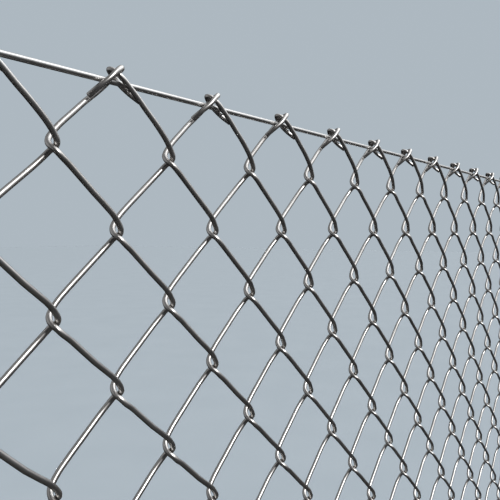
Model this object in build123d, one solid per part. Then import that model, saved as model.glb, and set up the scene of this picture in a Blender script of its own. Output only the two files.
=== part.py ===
"""Chain-link fence bay: woven wire mesh hung on three line wires between two
flanged steel end posts. Millimetres, X along the fence, Y from front to back,
Z up. The origin is on the underside of the left post's base plate, on the
post's axis.
"""
import os
from math import cos, pi, sin, sqrt

from build123d import *

# ---- driving dimensions (mm) ----
MESH = 50.0                    # clear size of a square mesh opening
HALF = MESH * sqrt(2) / 2      # half a diamond's diagonal
WIRES = 80                     # woven wires across the bay
ROWS = 51                      # half diamonds from top knuckles to bottom knuckles
WIRE_D = 2.65                  # mesh wire diameter
LEG_GAP = 8.2                  # front legs to back legs, centre to centre
APEX = 1.7                     # how far a bend passes the node's middle
BEND_DROP = 11.6               # height taken by a bend from front to back
BOTTOM_ROW_Z = 46.0            # height of the bottom knuckle row

LINE_D = 2.65                  # line wire diameter
LINE_DROP = 4.4                # line wire below the top knuckle row
POST_OD = 60.3
POST_WALL = 3.2
POST_H = 1900.0
POST_TO_MESH = 70.0            # post axis to the first line of nodes
PLATE = 160.0
PLATE_T = 10.0
PLATE_R = 10.0
HOLE_PITCH = 116.0
HOLE_D = 14.0

BAR_W = 19.0                   # stretcher bar
BAR_T = 4.0
BAND_W = 22.0                  # tension band
BAND_T = 3.0
EAR_Y = 8.6                    # middle of a band's ear, from the fence plane
BOLT_X = 27.0                  # band bolt, from the first line of nodes
BAND_ROWS = (3, 13, 23, 35, 47)
EYE_R = 8.0                    # eye bolt ring, to the middle of its bar
EYE_BAR = 7.0
EYE_X = 42.0                   # eye's middle, from the post axis
LOOP_R = 5.9                   # line wire round the eye's bar
LOOP_OPEN = 0.66               # half the loop's open angle, towards the fence
JOIN_X = 58.0                  # where the line wire runs straight, from the post axis

TOP_Z = BOTTOM_ROW_Z + ROWS * HALF
MESH_L = WIRES * HALF
SPAN = MESH_L + 2 * POST_TO_MESH
TIP_X = POST_TO_MESH
GY = LEG_GAP / 2
# closed knuckle of a wire's top end at a left node, from the leg round to the tip
KNUCKLE = [(2.6, -GY, -5.0), (-2.4, -0.4, 0.9), (-0.4, 4.6, 2.2), (7.6, 4.6, -3.2), (11.2, -0.6, -10.8)]
TOP_WIRE_Z = TOP_Z - LINE_DROP
LOW_WIRE_Z = BOTTOM_ROW_Z + LINE_DROP
MID_WIRE_Z = TOP_Z - 25.5 * HALF
MID_WIRE_Y = GY + WIRE_D / 2 + LINE_D / 2 + 0.8

os.makedirs("parts", exist_ok=True)


def save(name, *solids):
    shape = solids[0] if len(solids) == 1 else Compound(children=list(solids))
    shape.label = name
    export_step(shape, f"parts/{name}.step")


def wire_solid(points, dia):
    """Round wire with mitred corners along a line of points."""
    path = Polyline(*points)
    start = Plane(origin=points[0], z_dir=Vector(*points[1]) - Vector(*points[0]))
    return sweep(start * Circle(dia / 2), path=path, transition=Transition.RIGHT).solid()


# ---- woven mesh ----
def mesh_points(even):
    """Corner points of one woven wire, its own left nodes at x = 0."""
    left, right = -APEX, HALF + APEX
    pts = []
    for j in range(ROWS + 1):
        z = -j * HALF
        at_left = (j % 2 == 0) == even
        x = left if at_left else right
        # a bend takes the wire from back to front at the left, front to back at the right
        first, second = (GY, -GY) if at_left else (-GY, GY)
        if j > 0 and j < ROWS:
            pts.append((x, first, z + BEND_DROP / 2))
            pts.append((x, second, z - BEND_DROP / 2))
        else:
            side = 1 if at_left else -1
            end = 1 if j == 0 else -1
            node_x = 0.0 if at_left else HALF
            turn = [(node_x + side * kx, side * end * ky, z + end * kz) for kx, ky, kz in KNUCKLE]
            pts += turn[::-1] if j == 0 else turn
    return pts


EVEN_WIRE = wire_solid(mesh_points(True), WIRE_D)
ODD_WIRE = wire_solid(mesh_points(False), WIRE_D)


def mesh_wire(i):
    base = EVEN_WIRE if i % 2 == 0 else ODD_WIRE
    return base.moved(Location((TIP_X + i * HALF, 0, TOP_Z)))


SECTIONS = 6
edges = [round(k * WIRES / SECTIONS) for k in range(SECTIONS + 1)]
for k in range(SECTIONS):
    save(f"mesh_section_{k + 1}", *[mesh_wire(i) for i in range(edges[k], edges[k + 1])])


# ---- line wires ----
def arc(cx, cy, r, a0, a1, n):
    return [(cx + r * cos(a0 + (a1 - a0) * t / n), cy + r * sin(a0 + (a1 - a0) * t / n)) for t in range(n + 1)]


def line_end():
    """Left end of a line wire, from its tail: wraps round the wire, then the loop round the eye's bar."""
    bar_x = EYE_X + EYE_R
    wrap_r = LINE_D + 0.5
    turns, per, pitch = 2.25, 8, LINE_D + 0.25
    n = int(turns * per)
    pts = []
    for s in range(n + 1):
        a = -pi / 2 + (n - s) * 2 * pi / per
        pts.append((JOIN_X - 0.5 + (n - s) * pitch / per, wrap_r * sin(a), wrap_r * cos(a)))
    for px, py in arc(bar_x, 0, LOOP_R, -LOOP_OPEN, LOOP_OPEN - 2 * pi, 10):
        pts.append((px, py, 0.0))
    return pts


LEFT_END = line_end()


def line_wire(y, z):
    left = [(x, y + py, z + pz) for x, py, pz in LEFT_END]
    right = [(SPAN - x, y + py, z + pz) for x, py, pz in reversed(LEFT_END)]
    mids = [(JOIN_X, y, z), (SPAN - JOIN_X, y, z)]
    return wire_solid(left + mids + right, LINE_D)


save("top_line_wire", line_wire(0, TOP_WIRE_Z))
save("middle_line_wire", line_wire(MID_WIRE_Y, MID_WIRE_Z))
save("bottom_line_wire", line_wire(0, LOW_WIRE_Z))

# ---- wire ties: rings round the middle line wire and a back leg ----
RING_R, RING_D = 4.8, 2.0
ties = []
for i in (6, 20, 34, 46, 60, 74):
    x = TIP_X + (i + 0.5) * HALF
    ring = Plane(origin=(x, (GY + MID_WIRE_Y) / 2, MID_WIRE_Z), z_dir=(1, 0, 0)) * Torus(RING_R, RING_D / 2)
    ties.append(ring.solid())
save("middle_wire_ties", *ties)

# ---- stretcher bars ----
BAR_X = TIP_X - APEX + WIRE_D / 2 + 0.7
bar_low, bar_top = LOW_WIRE_Z + 9, TOP_WIRE_Z - 9
bar = Pos(BAR_X + BAR_W / 2, 0, (bar_low + bar_top) / 2) * Box(BAR_W, BAR_T, bar_top - bar_low)
save("left_stretcher_bar", bar)


def mirrored(shape):
    """The same piece at the right end of the bay."""
    return mirror(shape, about=Plane.YZ.offset(SPAN / 2))


save("right_stretcher_bar", mirrored(bar))

# ---- posts, caps, base plates ----
EYES = ((0, TOP_WIRE_Z), (MID_WIRE_Y, MID_WIRE_Z), (0, LOW_WIRE_Z))
tube_l = POST_H - PLATE_T
post = Pos(0, 0, PLATE_T + tube_l / 2) * (Cylinder(POST_OD / 2, tube_l) - Cylinder(POST_OD / 2 - POST_WALL, tube_l))
for y, z in EYES:
    post -= Pos(0, y, z) * Rot(0, 90, 0) * Cylinder(4.5, POST_OD + 20)
post = post.solid()
save("left_post", post)
save("right_post", mirrored(post))

plate = extrude(RectangleRounded(PLATE, PLATE, PLATE_R), PLATE_T)
for sx in (-1, 1):
    for sy in (-1, 1):
        plate -= Pos(sx * HOLE_PITCH / 2, sy * HOLE_PITCH / 2, PLATE_T / 2) * Cylinder(HOLE_D / 2, PLATE_T + 2)
plate = plate.solid()
save("left_base_plate", plate)
save("right_base_plate", mirrored(plate))

WELD = 6.0
weld_profile = Plane.XZ * Polygon((POST_OD / 2, PLATE_T), (POST_OD / 2 + WELD, PLATE_T), (POST_OD / 2, PLATE_T + WELD), align=None)
weld = revolve(weld_profile, axis=Axis.Z).solid()
save("left_post_weld", weld)
save("right_post_weld", mirrored(weld))

cap_in = POST_OD / 2 + 0.3
cap_out = cap_in + 2.0
cap_profile = Plane.XZ * Polygon(
    (0, POST_H + 0.2), (cap_in, POST_H + 0.2), (cap_in, POST_H - 28), (cap_out, POST_H - 28),
    (cap_out, POST_H + 2), (cap_out - 2.5, POST_H + 7), (cap_out - 9, POST_H + 12), (cap_out - 18, POST_H + 15.5), (0, POST_H + 17.5),
    align=None)
cap = revolve(cap_profile, axis=Axis.Z).solid()
save("left_post_cap", cap)
save("right_post_cap", mirrored(cap))

# ---- tension bands with their bolts and nuts ----
band_in = POST_OD / 2 + 0.2
ear_end = TIP_X + BOLT_X + 11
ring2d = Circle(band_in + BAND_T) - Circle(band_in)
ring2d -= Pos(band_in, 0) * Rectangle(band_in * 1.2, 2 * (EAR_Y - BAND_T / 2))
ears2d = [Pos((band_in + ear_end) / 2 - 1.2, s * EAR_Y) * Rectangle(ear_end - band_in + 2.4, BAND_T) - Circle(band_in) for s in (-1, 1)]
band2d = ring2d + ears2d[0] + ears2d[1]
band0 = extrude(band2d, BAND_W)
band0 = Pos(0, 0, -BAND_W / 2) * band0
BX = TIP_X + BOLT_X
band0 -= Pos(BX, 0, 0) * Rot(90, 0, 0) * Cylinder(4.4, 60)
band0 = band0.solid()
ear_out = EAR_Y + BAND_T / 2
dome = Pos(BX, -ear_out - 0.1, 0) * Rot(90, 0, 0) * Cylinder(8.5, 2.6, align=(Align.CENTER, Align.CENTER, Align.MIN))
crown = Pos(BX, -ear_out - 2.6, 0) * Rot(90, 0, 0) * Cone(8.5, 5.0, 1.9, align=(Align.CENTER, Align.CENTER, Align.MIN))
shank = Pos(BX, 0, 0) * Rot(90, 0, 0) * Pos(0, 0, -ear_out - 11) * Cylinder(4.0, 2 * ear_out + 11 + 1.0, align=(Align.CENTER, Align.CENTER, Align.MIN))
bolt0 = (shank + dome + crown).solid()
nut0 = Pos(BX, ear_out + 0.1, 0) * Rot(-90, 0, 0) * (extrude(RegularPolygon(7.5, 6), 6.5) - Cylinder(4.1, 20))
nut0 = nut0.solid()
band_zs = [TOP_Z - r * HALF for r in BAND_ROWS]
for name, piece in (("tension_bands", band0), ("band_bolts", bolt0), ("band_nuts", nut0)):
    left = [Pos(0, 0, z) * piece for z in band_zs]
    save(f"left_{name}", *left)
    save(f"right_{name}", *[mirrored(p) for p in left])

# ---- eye bolts with their nuts ----
ring = Pos(EYE_X, 0, 0) * Rot(90, 0, 0) * Torus(EYE_R, EYE_BAR / 2)
stem_l = EYE_X - EYE_R + POST_OD / 2 + 16
stem = Pos(EYE_X - EYE_R, 0, 0) * Rot(0, -90, 0) * Cylinder(4.0, stem_l, align=(Align.CENTER, Align.CENTER, Align.MIN))
eye0 = (ring + stem).solid()
wash = Pos(-POST_OD / 2 - 0.2, 0, 0) * Rot(0, -90, 0) * (Cylinder(9, 2.0, align=(Align.CENTER, Align.CENTER, Align.MIN)) - Cylinder(4.1, 20))
hexa = Pos(-POST_OD / 2 - 2.2, 0, 0) * Rot(0, -90, 0) * (extrude(RegularPolygon(7.5, 6), 6.5) - Cylinder(4.1, 20))
eyenut0 = (wash + hexa).solid()
for name, piece in (("eye_bolts", eye0), ("eye_bolt_nuts", eyenut0)):
    left = [Pos(0, y, z) * piece for y, z in EYES]
    save(f"left_{name}", *left)
    save(f"right_{name}", *[mirrored(p) for p in left])
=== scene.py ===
"""Looks for a chain-link fence bay: woven galvanised wire with knuckled ends on
three line wires, between two flanged steel posts. Lengths below are millimetres
in the part's own frame, X along the fence, Y from front to back, Z up.
"""

import bpy
import math
import numpy as np
from mathutils import Matrix, Vector


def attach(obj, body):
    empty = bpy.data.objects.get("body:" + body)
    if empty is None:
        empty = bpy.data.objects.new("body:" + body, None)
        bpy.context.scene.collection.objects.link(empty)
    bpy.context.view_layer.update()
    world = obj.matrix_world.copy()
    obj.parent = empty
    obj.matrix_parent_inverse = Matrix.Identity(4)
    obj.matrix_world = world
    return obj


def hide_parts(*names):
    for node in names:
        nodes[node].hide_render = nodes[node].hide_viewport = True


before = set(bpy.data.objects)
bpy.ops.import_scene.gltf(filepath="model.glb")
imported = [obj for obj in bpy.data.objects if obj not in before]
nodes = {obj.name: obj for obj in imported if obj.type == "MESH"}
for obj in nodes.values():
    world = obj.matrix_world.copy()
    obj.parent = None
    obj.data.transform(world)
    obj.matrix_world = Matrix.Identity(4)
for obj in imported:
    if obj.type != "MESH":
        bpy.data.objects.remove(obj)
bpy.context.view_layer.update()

# ---- sizes of the fence (mm) ----
HALF = 50.0 * math.sqrt(2) / 2
WIRES, ROWS = 80, 51
WIRE_D = 2.65
LINE_D = 2.65
BOTTOM_ROW_Z = 46.0
TOP_Z = BOTTOM_ROW_Z + ROWS * HALF
TIP_X = 70.0
SPAN = WIRES * HALF + 2 * TIP_X
LEG_Y = 4.1
LINE_DROP = 4.0
MID_WIRE_Z = TOP_Z - 25.5 * HALF
MID_WIRE_Y = LEG_Y + WIRE_D / 2 + LINE_D / 2 + 0.8
EYE_BAR_X = 50.0
LOOP_R = 5.9
PHOTO_COL = 30                 # the photo's first whole knuckle, counted from the left post

# the weave, each row of points from its own node. A bend runs from the leg above to the leg below:
# at a left node from the back to the front, at a right node from the front to the back
BEND_LEFT = [(6.77, 4.20, 9.75), (1.57, 3.70, 4.62), (-0.39, 2.42, 2.06), (-1.15, 0.04, -0.04),
             (-0.32, -2.48, -1.96), (1.83, -3.46, -4.35), (6.91, -3.21, -7.95)]
BEND_RIGHT = [(-6.83, -3.72, 9.66), (-1.49, -2.34, 5.12), (0.55, -1.78, 2.30), (1.55, 0.01, 0.19),
              (0.71, 2.61, -1.48), (-1.50, 3.84, -4.11), (-6.82, 4.85, -9.01)]
# the wider bends that hold a stretcher bar, at a left node and turned half round at a right one
BEND_BAR = [(6.82, 4.00, 9.15), (2.40, 3.95, 5.85), (-0.75, 3.15, 3.00), (-1.80, 0.0, 0.0),
            (-0.75, -3.15, -3.00), (2.40, -3.95, -5.85), (6.82, -4.00, -9.15)]
# the middle of a front leg from the left node above it, and of a back leg from the left node below it
FRONT_MID, BACK_MID = (17.69, -4.36, -17.72), (17.67, 4.43, 18.24)
# last leg and closed knuckle of a top end at a left node, from the leg's middle to the tip;
# the wire that ends at a right node has the same run turned half round
KNUCKLE_LEFT = [(20.69, -4.49, -19.47), (14.66, -4.22, -14.35), (9.38, -3.90, -9.55),
                (5.02, -3.42, -5.77), (1.41, -2.75, -2.46), (-1.26, -0.95, 0.44), (-2.09, 1.92, 1.72),
                (0.05, 4.07, 1.59), (3.66, 4.88, -0.68), (7.39, 4.12, -3.83), (10.59, 1.94, -7.09),
                (13.09, -1.52, -10.32)]
KNUCKLE_RIGHT = [(20.68, -4.55, -19.20), (14.66, -4.57, -14.22), (8.96, -4.15, -9.75),
                 (4.45, -3.75, -5.95), (1.08, -2.90, -2.42), (-0.92, -1.09, 0.67), (-1.07, 1.73, 1.90),
                 (1.23, 3.93, 1.75), (4.71, 4.63, -0.61), (8.16, 3.96, -4.11), (11.45, 1.58, -7.50),
                 (13.94, -2.46, -11.47)]


# ---- curves and tubes ----
def smooth(points, steps):
    """Catmull-Rom curve through points, with so many steps to each span."""
    p = np.array(points, float)
    p = np.concatenate([[2 * p[0] - p[1]], p, [2 * p[-1] - p[-2]]])
    out = []
    for k in range(1, len(p) - 2):
        a, b, c, d = p[k - 1:k + 3]
        for t in np.arange(steps[k - 1]) / steps[k - 1]:
            out.append(0.5 * (2 * b + (c - a) * t + (2 * a - 5 * b + 4 * c - d) * t * t
                              + (3 * b - a - 3 * c + d) * t ** 3))
    out.append(p[-2])
    return np.array(out)


def woven_wire(even, fine_rows, bar=0):
    """Middle line of one woven wire, its left nodes at x = 0 and its top node at z = 0.
    bar is -1 or 1 where its left or right bends hold a stretcher bar."""
    pts, steps = [], []
    for j in range(ROWS + 1):
        fine = j <= fine_rows
        at_left = (j % 2 == 0) == even
        side = 1 if at_left else -1
        at = np.array([0 if at_left else HALF, 0, -j * HALF])
        if j in (0, ROWS):
            end = 1 if j == 0 else -1
            p = np.array(KNUCKLE_LEFT if at_left else KNUCKLE_RIGHT) * [side, side * end, end] + at
            s = [3, 3, 4] + [6] * 8 if fine else [1, 1, 2] + [2] * 8
            pts.append(p[::end * -1])
            steps += s[::-1] + [s[0]] if j == 0 else s
            continue
        if bar == -side:
            bend = np.array(BEND_BAR) * [side, side, 1]
        else:
            bend = np.array(BEND_LEFT if at_left else BEND_RIGHT)
        pts.append(bend + at)
        steps += [3, 3, 3, 3, 3, 3, 2] if fine else [1, 1, 2, 2, 1, 1, 1]
        if j < ROWS - 1:
            mid = FRONT_MID if at_left else BACK_MID
            pts.append(np.array([mid]) + [0, 0, -(j + (not at_left)) * HALF])
            steps.append(2 if fine else 1)
    return smooth(np.concatenate(pts), steps)


def rings(path, radius, sides):
    """Rings of a tube along a path, turned as little as possible from one to the next."""
    p = np.array(path, float)
    t = np.gradient(p, axis=0)
    t /= np.linalg.norm(t, axis=1, keepdims=True)
    r = np.zeros_like(p)
    first = np.cross(t[0], [0.0, 0.0, 1.0])
    if np.linalg.norm(first) < 1e-3:
        first = np.cross(t[0], [0.0, 1.0, 0.0])
    r[0] = first / np.linalg.norm(first)
    for k in range(len(p) - 1):
        v1 = p[k + 1] - p[k]
        c1 = v1 @ v1
        rl = r[k] - 2 / c1 * (v1 @ r[k]) * v1
        tl = t[k] - 2 / c1 * (v1 @ t[k]) * v1
        v2 = t[k + 1] - tl
        c2 = v2 @ v2
        r[k + 1] = rl - 2 / c2 * (v2 @ rl) * v2 if c2 > 1e-12 else rl
    s = np.cross(t, r)
    a = np.arange(sides) * 2 * np.pi / sides
    rad = np.broadcast_to(np.asarray(radius, float), (len(p),))[:, None, None]
    ring = p[:, None] + rad * (r[:, None] * np.cos(a)[:, None] + s[:, None] * np.sin(a)[:, None])
    return ring, t


def tube(path, dia, sides, cut=0.35):
    """(vertices, quads, triangles) of a wire with flat, slightly rounded cut ends."""
    p = np.array(path, float)
    ring, t = rings(p, dia / 2, sides)
    head = p[0] - t[0] * cut + (ring[0] - p[0]) * 0.78
    tail = p[-1] + t[-1] * cut + (ring[-1] - p[-1]) * 0.78
    ring = np.concatenate([head[None], ring, tail[None]])
    n = len(ring)
    verts = np.concatenate([ring.reshape(-1, 3), [p[0] - t[0] * cut], [p[-1] + t[-1] * cut]])
    k, a = np.meshgrid(np.arange(n - 1), np.arange(sides), indexing="ij")
    b = (a + 1) % sides
    quads = np.stack([k * sides + a, k * sides + b, (k + 1) * sides + b, (k + 1) * sides + a], -1).reshape(-1, 4)
    a = np.arange(sides)
    b = (a + 1) % sides
    last = (n - 1) * sides
    tris = np.concatenate([
        np.stack([b, a, np.full(sides, n * sides)], 1),
        np.stack([last + a, last + b, np.full(sides, n * sides + 1)], 1)])
    return verts, quads, tris


def joined(parts):
    """One (vertices, quads, triangles) out of several."""
    vs, qs, ts, at = [], [], [], 0
    for v, q, t in parts:
        vs.append(v)
        qs.append(q + at)
        ts.append(t + at)
        at += len(v)
    return np.concatenate(vs), np.concatenate(qs), np.concatenate(ts)


def make(name, shape, smooth_faces=True):
    """Mesh object from (vertices in mm, quads, triangles)."""
    verts, quads, tris = shape
    me = bpy.data.meshes.new(name)
    me.vertices.add(len(verts))
    me.vertices.foreach_set("co", (verts * 0.001).astype(np.float32).ravel())
    me.loops.add(4 * len(quads) + 3 * len(tris))
    me.loops.foreach_set("vertex_index", np.concatenate([quads.ravel(), tris.ravel()]).astype(np.int32))
    starts = np.concatenate([np.arange(len(quads)) * 4, 4 * len(quads) + np.arange(len(tris)) * 3])
    me.polygons.add(len(starts))
    me.polygons.foreach_set("loop_start", starts.astype(np.int32))
    me.polygons.foreach_set("use_smooth", np.full(len(starts), smooth_faces))
    me.update(calc_edges=True)
    me.validate()
    ob = bpy.data.objects.new(name, me)
    bpy.context.scene.collection.objects.link(ob)
    return ob


# ---- materials ----
def lin(r, g, b):
    return tuple(((c / 255) / 12.92 if c <= 10.3 else ((c / 255 + 0.055) / 1.055) ** 2.4) for c in (r, g, b)) + (1.0,)


class Mat:
    """A principled material with node helpers."""

    def __init__(self, name):
        self.mat = bpy.data.materials.new(name)
        self.mat.use_nodes = True
        self.nt = self.mat.node_tree
        self.nt.nodes.clear()
        self.out = self.nt.nodes.new("ShaderNodeOutputMaterial")
        self.bsdf = self.nt.nodes.new("ShaderNodeBsdfPrincipled")
        self.nt.links.new(self.bsdf.outputs[0], self.out.inputs[0])
        self.coord = self.nt.nodes.new("ShaderNodeTexCoord").outputs["Object"]

    def link(self, a, b):
        self.nt.links.new(a, b)

    def set(self, **kw):
        for k, v in kw.items():
            self.bsdf.inputs[k.replace("_", " ")].default_value = v
        return self

    def stretch(self, sx, sy, sz):
        m = self.nt.nodes.new("ShaderNodeMapping")
        m.inputs["Scale"].default_value = (sx, sy, sz)
        self.link(self.coord, m.inputs["Vector"])
        return m.outputs[0]

    def noise(self, scale, detail=3.0, rough=0.5, vector=None):
        n = self.nt.nodes.new("ShaderNodeTexNoise")
        n.inputs["Scale"].default_value = scale
        n.inputs["Detail"].default_value = detail
        n.inputs["Roughness"].default_value = rough
        self.link(vector or self.coord, n.inputs["Vector"])
        return n.outputs["Fac"]

    def voronoi(self, scale, out="Color", feature="F1"):
        n = self.nt.nodes.new("ShaderNodeTexVoronoi")
        n.feature = feature
        n.inputs["Scale"].default_value = scale
        self.link(self.coord, n.inputs["Vector"])
        return n.outputs[out]

    def ramp(self, fac, *stops):
        r = self.nt.nodes.new("ShaderNodeValToRGB")
        e = r.color_ramp.elements
        while len(e) < len(stops):
            e.new(0.5)
        for el, (pos, col) in zip(e, stops):
            el.position = pos
            el.color = col if len(col) == 4 else (*col, 1.0)
        self.link(fac, r.inputs["Fac"])
        return r.outputs["Color"]

    def span(self, fac, lo, hi, a=0.3, b=0.7):
        m = self.nt.nodes.new("ShaderNodeMapRange")
        m.inputs["From Min"].default_value = a
        m.inputs["From Max"].default_value = b
        m.inputs["To Min"].default_value = lo
        m.inputs["To Max"].default_value = hi
        self.link(fac, m.inputs["Value"])
        return m.outputs[0]

    def mix(self, fac, a, b, blend="MIX"):
        m = self.nt.nodes.new("ShaderNodeMix")
        m.data_type = "RGBA"
        m.blend_type = blend
        if isinstance(fac, float):
            m.inputs[0].default_value = fac
        else:
            self.link(fac, m.inputs[0])
        for sock, v in ((m.inputs[6], a), (m.inputs[7], b)):
            if isinstance(v, tuple):
                sock.default_value = v
            else:
                self.link(v, sock)
        return m.outputs[2]

    def bump(self, height, strength, distance, normal=None):
        b = self.nt.nodes.new("ShaderNodeBump")
        b.inputs["Strength"].default_value = strength
        b.inputs["Distance"].default_value = distance
        self.link(height, b.inputs["Height"])
        if normal is not None:
            self.link(normal, b.inputs["Normal"])
        return b.outputs[0]

    def use(self, color=None, rough=None, normal=None, metallic=None):
        for v, k in ((color, "Base Color"), (rough, "Roughness"), (normal, "Normal"), (metallic, "Metallic")):
            if v is not None:
                self.link(v, self.bsdf.inputs[k])
        return self.mat


def wire_material(name, light, dark, r0, r1):
    m = Mat(name).set(Metallic=1.0)
    broad = m.noise(22.0, 3.0)
    fine = m.noise(190.0, 4.0, 0.6)
    color = m.mix(m.span(broad, 0.0, 1.0, 0.35, 0.7), light, dark)
    color = m.mix(m.span(fine, 0.0, 0.35, 0.5, 0.75), color, (0.40, 0.37, 0.34, 1.0))
    rough = m.span(m.noise(75.0, 3.0), r0, r1)
    grain = m.noise(1500.0, 2.0)
    return m.use(color, rough, m.bump(grain, 0.05, 0.00006))


def galvanised(name, light, dark, scale, r0, r1, metallic=1.0):
    m = Mat(name).set(Metallic=metallic)
    cells = m.voronoi(scale)
    sep = m.nt.nodes.new("ShaderNodeSeparateColor")
    m.link(cells, sep.inputs[0])
    clouds = m.noise(9.0, 4.0)
    color = m.mix(sep.outputs[0], light, dark)
    color = m.mix(m.span(clouds, 0.0, 0.5, 0.45, 0.75), color, (0.40, 0.40, 0.39, 1.0))
    rough = m.span(sep.outputs[1], r0, r1, 0.0, 1.0)
    n1 = m.bump(m.noise(420.0, 3.0), 0.15, 0.0002)
    n2 = m.bump(m.noise(26.0, 2.0), 0.25, 0.0006, n1)
    return m.use(color, rough, n2)


def cast(name, light, dark):
    m = Mat(name).set(Metallic=0.8)
    color = m.mix(m.span(m.noise(30.0, 4.0), 0.0, 1.0), light, dark)
    rough = m.span(m.noise(90.0, 3.0), 0.42, 0.6)
    return m.use(color, rough, m.bump(m.noise(900.0, 3.0), 0.35, 0.0003))


MESH_WIRE = wire_material("zinc_mesh_wire", (0.66, 0.645, 0.63, 1.0), (0.56, 0.54, 0.52, 1.0), 0.32, 0.41)
LINE_WIRE = wire_material("zinc_line_wire", (0.66, 0.655, 0.645, 1.0), (0.57, 0.56, 0.55, 1.0), 0.32, 0.38)
POSTS = galvanised("hot_dip_zinc", (0.52, 0.54, 0.55, 1.0), (0.40, 0.42, 0.43, 1.0), 95.0, 0.40, 0.56, 0.7)
FITTINGS = galvanised("plated_fittings", (0.58, 0.58, 0.57, 1.0), (0.47, 0.48, 0.48, 1.0), 260.0, 0.30, 0.44, 0.85)
CAPS = cast("cast_cap", (0.60, 0.61, 0.62, 1.0), (0.50, 0.51, 0.52, 1.0))
WELDS = galvanised("weld_zinc", (0.50, 0.51, 0.52, 1.0), (0.38, 0.39, 0.40, 1.0), 300.0, 0.38, 0.54, 0.7)


def paint(ob, mat):
    ob.data.materials.clear()
    ob.data.materials.append(mat)


def add(ob, mat, slot, *stands_for):
    paint(ob, mat)
    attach(ob, "root")
    if stands_for:
        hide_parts(*stands_for)
    return ob


# ---- woven mesh ----
FINE_COLS = range(PHOTO_COL - 4, PHOTO_COL + 21)
FINE_ROWS = 8
SECTIONS = 6
edges = [round(k * WIRES / SECTIONS) for k in range(SECTIONS + 1)]
shapes = {}
for k in range(SECTIONS):
    parts = []
    for i in range(edges[k], edges[k + 1]):
        kind = (i % 2 == 0, i in FINE_COLS, (i == WIRES - 1) - (i == 0))
        if kind not in shapes:
            shapes[kind] = tube(woven_wire(kind[0], FINE_ROWS if kind[1] else -1, kind[2]), WIRE_D, 10 if kind[1] else 8)
        v, q, t = shapes[kind]
        parts.append((v + [TIP_X + i * HALF, 0, TOP_Z], q, t))
    add(make(f"woven_wires_{k + 1}", joined(parts)), MESH_WIRE, "mesh_wire", f"mesh_section_{k + 1}")


# ---- line wires ----
def line_end():
    """Left end of a line wire, from its tail: wraps round the wire, then the loop round the eye's bar."""
    pts = []
    turns, per, pitch = 2.25, 16, LINE_D + 0.25
    n = int(turns * per)
    wrap_r = LINE_D + 0.12
    for s in range(n + 1):
        a = -math.pi / 2 + (n - s) * 2 * math.pi / per
        pts.append((57.5 + (n - s) * pitch / per, wrap_r * math.sin(a), wrap_r * math.cos(a)))
    a0, a1, m = -0.66, 0.66 - 2 * math.pi, 22
    for s in range(m + 1):
        a = a0 + (a1 - a0) * s / m
        pts.append((EYE_BAR_X + LOOP_R * math.cos(a), LOOP_R * math.sin(a), 0.0))
    pts += [(56.2, 1.7, 0.0), (57.5, 0.45, 0.0), (59.0, 0.0, 0.0), (62.0, 0.0, 0.0)]
    return pts


END = line_end()


def line_wire(y, z):
    left = [(x, y + py, z + pz) for x, py, pz in END]
    right = [(SPAN - x, y + py, z + pz) for x, py, pz in reversed(END)]
    mids = [(x, y, z) for x in np.linspace(62.0, SPAN - 62.0, 90)[1:-1]]
    return tube(left + mids + right, LINE_D, 16)


for name, y, z in (("top", 0.0, TOP_Z - LINE_DROP), ("middle", MID_WIRE_Y, MID_WIRE_Z),
                   ("bottom", 0.0, BOTTOM_ROW_Z + LINE_DROP)):
    add(make(f"{name}_tension_wire", line_wire(y, z)), LINE_WIRE, "line_wire", f"{name}_line_wire")


# ---- weld beads round the post feet ----
def bead(cx):
    n, m = 220, 9
    verts = []
    for k in range(n):
        a = 2 * math.pi * k / n
        ripple = 0.35 * abs(math.sin(a * 34)) + 0.25 * math.sin(a * 5 + 1.3)
        for s in range(m):
            f = s / (m - 1)
            leg_len = 5.6 + ripple
            x = 30.1 + leg_len * (1 - f)
            z = 9.9 + leg_len * f
            crown = 0.9 * math.sin(math.pi * f) + ripple * 0.6 * math.sin(math.pi * f)
            x += crown * 0.707
            z += crown * 0.707
            verts.append((cx + x * math.cos(a), x * math.sin(a), z))
    quads = []
    for k in range(n):
        for s in range(m - 1):
            b = (k + 1) % n
            quads.append((k * m + s, b * m + s, b * m + s + 1, k * m + s + 1))
    base = len(verts)
    for k in range(n):
        a = 2 * math.pi * k / n
        verts.append((cx + 30.1 * math.cos(a), 30.1 * math.sin(a), 9.9))
    for k in range(n):
        b = (k + 1) % n
        quads.append((k * m + m - 1, b * m + m - 1, base + b, base + k))
        quads.append((base + k, base + b, b * m, k * m))
    return np.array(verts), np.array(quads), np.zeros((0, 3), int)


add(make("left_weld_bead", bead(0.0)), WELDS, "galvanised_steel", "left_post_weld")
add(make("right_weld_bead", bead(SPAN)), WELDS, "galvanised_steel", "right_post_weld")

# ---- finishes of the nodes that stay ----
for side in ("left", "right"):
    for part, mat in (("post", POSTS), ("base_plate", POSTS), ("post_cap", CAPS), ("stretcher_bar", FITTINGS),
                      ("tension_bands", FITTINGS), ("band_bolts", FITTINGS), ("band_nuts", FITTINGS),
                      ("eye_bolts", FITTINGS), ("eye_bolt_nuts", FITTINGS)):
        paint(nodes[f"{side}_{part}"], mat)
paint(nodes["middle_wire_ties"], LINE_WIRE)

# ---- floor, light, camera ----
me = bpy.data.meshes.new("studio_floor")
me.from_pydata([(-60, -60, -0.002), (60, -60, -0.002), (60, 60, -0.002), (-60, 60, -0.002)], [], [(0, 1, 2, 3)])
floor = bpy.data.objects.new("studio_floor", me)
bpy.context.scene.collection.objects.link(floor)
fm = Mat("floor_pale").set(Roughness=0.9)
paint(floor, fm.use(fm.mix(fm.span(fm.noise(1.5, 2.0), 0.0, 1.0), (0.416, 0.478, 0.526, 1.0), (0.435, 0.497, 0.545, 1.0))))
floor.visible_glossy = False

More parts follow.
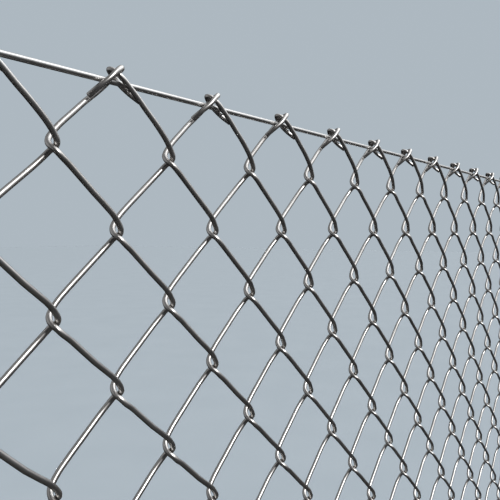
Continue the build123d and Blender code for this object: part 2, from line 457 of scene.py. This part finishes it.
world = bpy.data.worlds.new("studio")
bpy.context.scene.world = world
world.use_nodes = True
wn = world.node_tree
wn.nodes.clear()
w_out = wn.nodes.new("ShaderNodeOutputWorld")
w_mix = wn.nodes.new("ShaderNodeMixShader")
w_path = wn.nodes.new("ShaderNodeLightPath")
w_seen = wn.nodes.new("ShaderNodeBackground")
w_lit = wn.nodes.new("ShaderNodeBackground")
w_seen.inputs["Color"].default_value = (0.42, 0.48, 0.53, 1.0)
def w_math(op, a, b=None):
    """A math node of the world, fed by a link or a number."""
    n = wn.nodes.new("ShaderNodeMath")
    n.operation = op
    for k, v in enumerate((a, b)):
        if isinstance(v, float):
            n.inputs[k].default_value = v
        elif v is not None:
            wn.links.new(v, n.inputs[k])
    return n


w_coord = wn.nodes.new("ShaderNodeTexCoord")


def glow(toward, spread, strength):
    """A wide soft light in the world, brightest toward a direction. Gives its nodes."""
    dot = wn.nodes.new("ShaderNodeVectorMath")
    dot.operation = "DOT_PRODUCT"
    dot.inputs[1].default_value = Vector(toward).normalized()
    wn.links.new(w_coord.outputs["Generated"], dot.inputs[0])
    away = w_math("DIVIDE", w_math("SUBTRACT", dot.outputs["Value"], 1.0).outputs[0], spread)
    return dot, away, w_math("MULTIPLY", w_math("EXPONENT", away.outputs[0]).outputs[0], strength)


# a large soft light high on the right, a weak one on the left, a faint return from the ground in front
w_right = glow((0.62, -0.22, 0.75), 0.14, 2.7)
w_left = glow((-0.55, 0.75, 0.37), 0.25, 0.45)
w_ground = glow((0.16, -0.89, -0.42), 0.25, 0.06)
w_sep = wn.nodes.new("ShaderNodeSeparateXYZ")
wn.links.new(w_coord.outputs["Generated"], w_sep.inputs[0])
w_level = wn.nodes.new("ShaderNodeMapRange")
w_level.interpolation_type = "SMOOTHSTEP"
w_level.inputs["From Min"].default_value = -0.14
w_level.inputs["From Max"].default_value = 0.03
wn.links.new(w_sep.outputs["Z"], w_level.inputs["Value"])
w_both = w_math("ADD", w_right[2].outputs[0], w_left[2].outputs[0])
w_above = w_math("MULTIPLY", w_both.outputs[0], w_level.outputs[0])
w_all = w_math("ADD", w_above.outputs[0], w_ground[2].outputs[0])
w_sum = w_math("ADD", w_all.outputs[0], 0.015)
wn.links.new(w_sum.outputs[0], w_lit.inputs["Strength"])
w_lit.inputs["Color"].default_value = (0.96, 0.98, 1.0, 1.0)
wn.links.new(w_path.outputs["Is Camera Ray"], w_mix.inputs[0])
wn.links.new(w_lit.outputs[0], w_mix.inputs[1])
wn.links.new(w_seen.outputs[0], w_mix.inputs[2])
wn.links.new(w_mix.outputs[0], w_out.inputs[0])


def sun(name, toward, energy, angle):
    """A distant lamp whose light comes from the direction toward."""
    d = bpy.data.lights.new(name, "SUN")
    d.energy = energy
    d.angle = math.radians(angle)
    o = bpy.data.objects.new(name, d)
    bpy.context.scene.collection.objects.link(o)
    o.rotation_mode = "QUATERNION"
    o.rotation_quaternion = Vector(toward).to_track_quat("Z", "Y")
    return o


sun("key", (-0.03, -0.76, 0.648), 1.9, 11.0)

cam_data = bpy.data.cameras.new("photo_camera")
cam_data.sensor_width = 36.0
cam_data.lens = 674.69 / 500 * 36.0
cam_data.clip_start = 0.01
cam_data.clip_end = 200.0
cam = bpy.data.objects.new("photo_camera", cam_data)
bpy.context.scene.collection.objects.link(cam)
bpy.context.scene.camera = cam
yaw, pitch, roll = math.radians(33.609), math.radians(-1.605), math.radians(0.111)
look = Vector((math.cos(yaw) * math.cos(pitch), math.sin(yaw) * math.cos(pitch), math.sin(pitch)))
right = Vector((math.sin(yaw), -math.cos(yaw), 0.0))
up = right.cross(look)
right, up = (math.cos(roll) * right + math.sin(roll) * up, -math.sin(roll) * right + math.cos(roll) * up)
cam.matrix_world = Matrix((
    (right.x, up.x, -look.x, (TIP_X + PHOTO_COL * HALF - 215.63) / 1000),
    (right.y, up.y, -look.y, -0.21380),
    (right.z, up.z, -look.z, (TOP_Z - 68.84) / 1000),
    (0, 0, 0, 1)))

bpy.context.scene.view_settings.view_transform = "Standard"
bpy.context.scene.view_settings.look = "None"
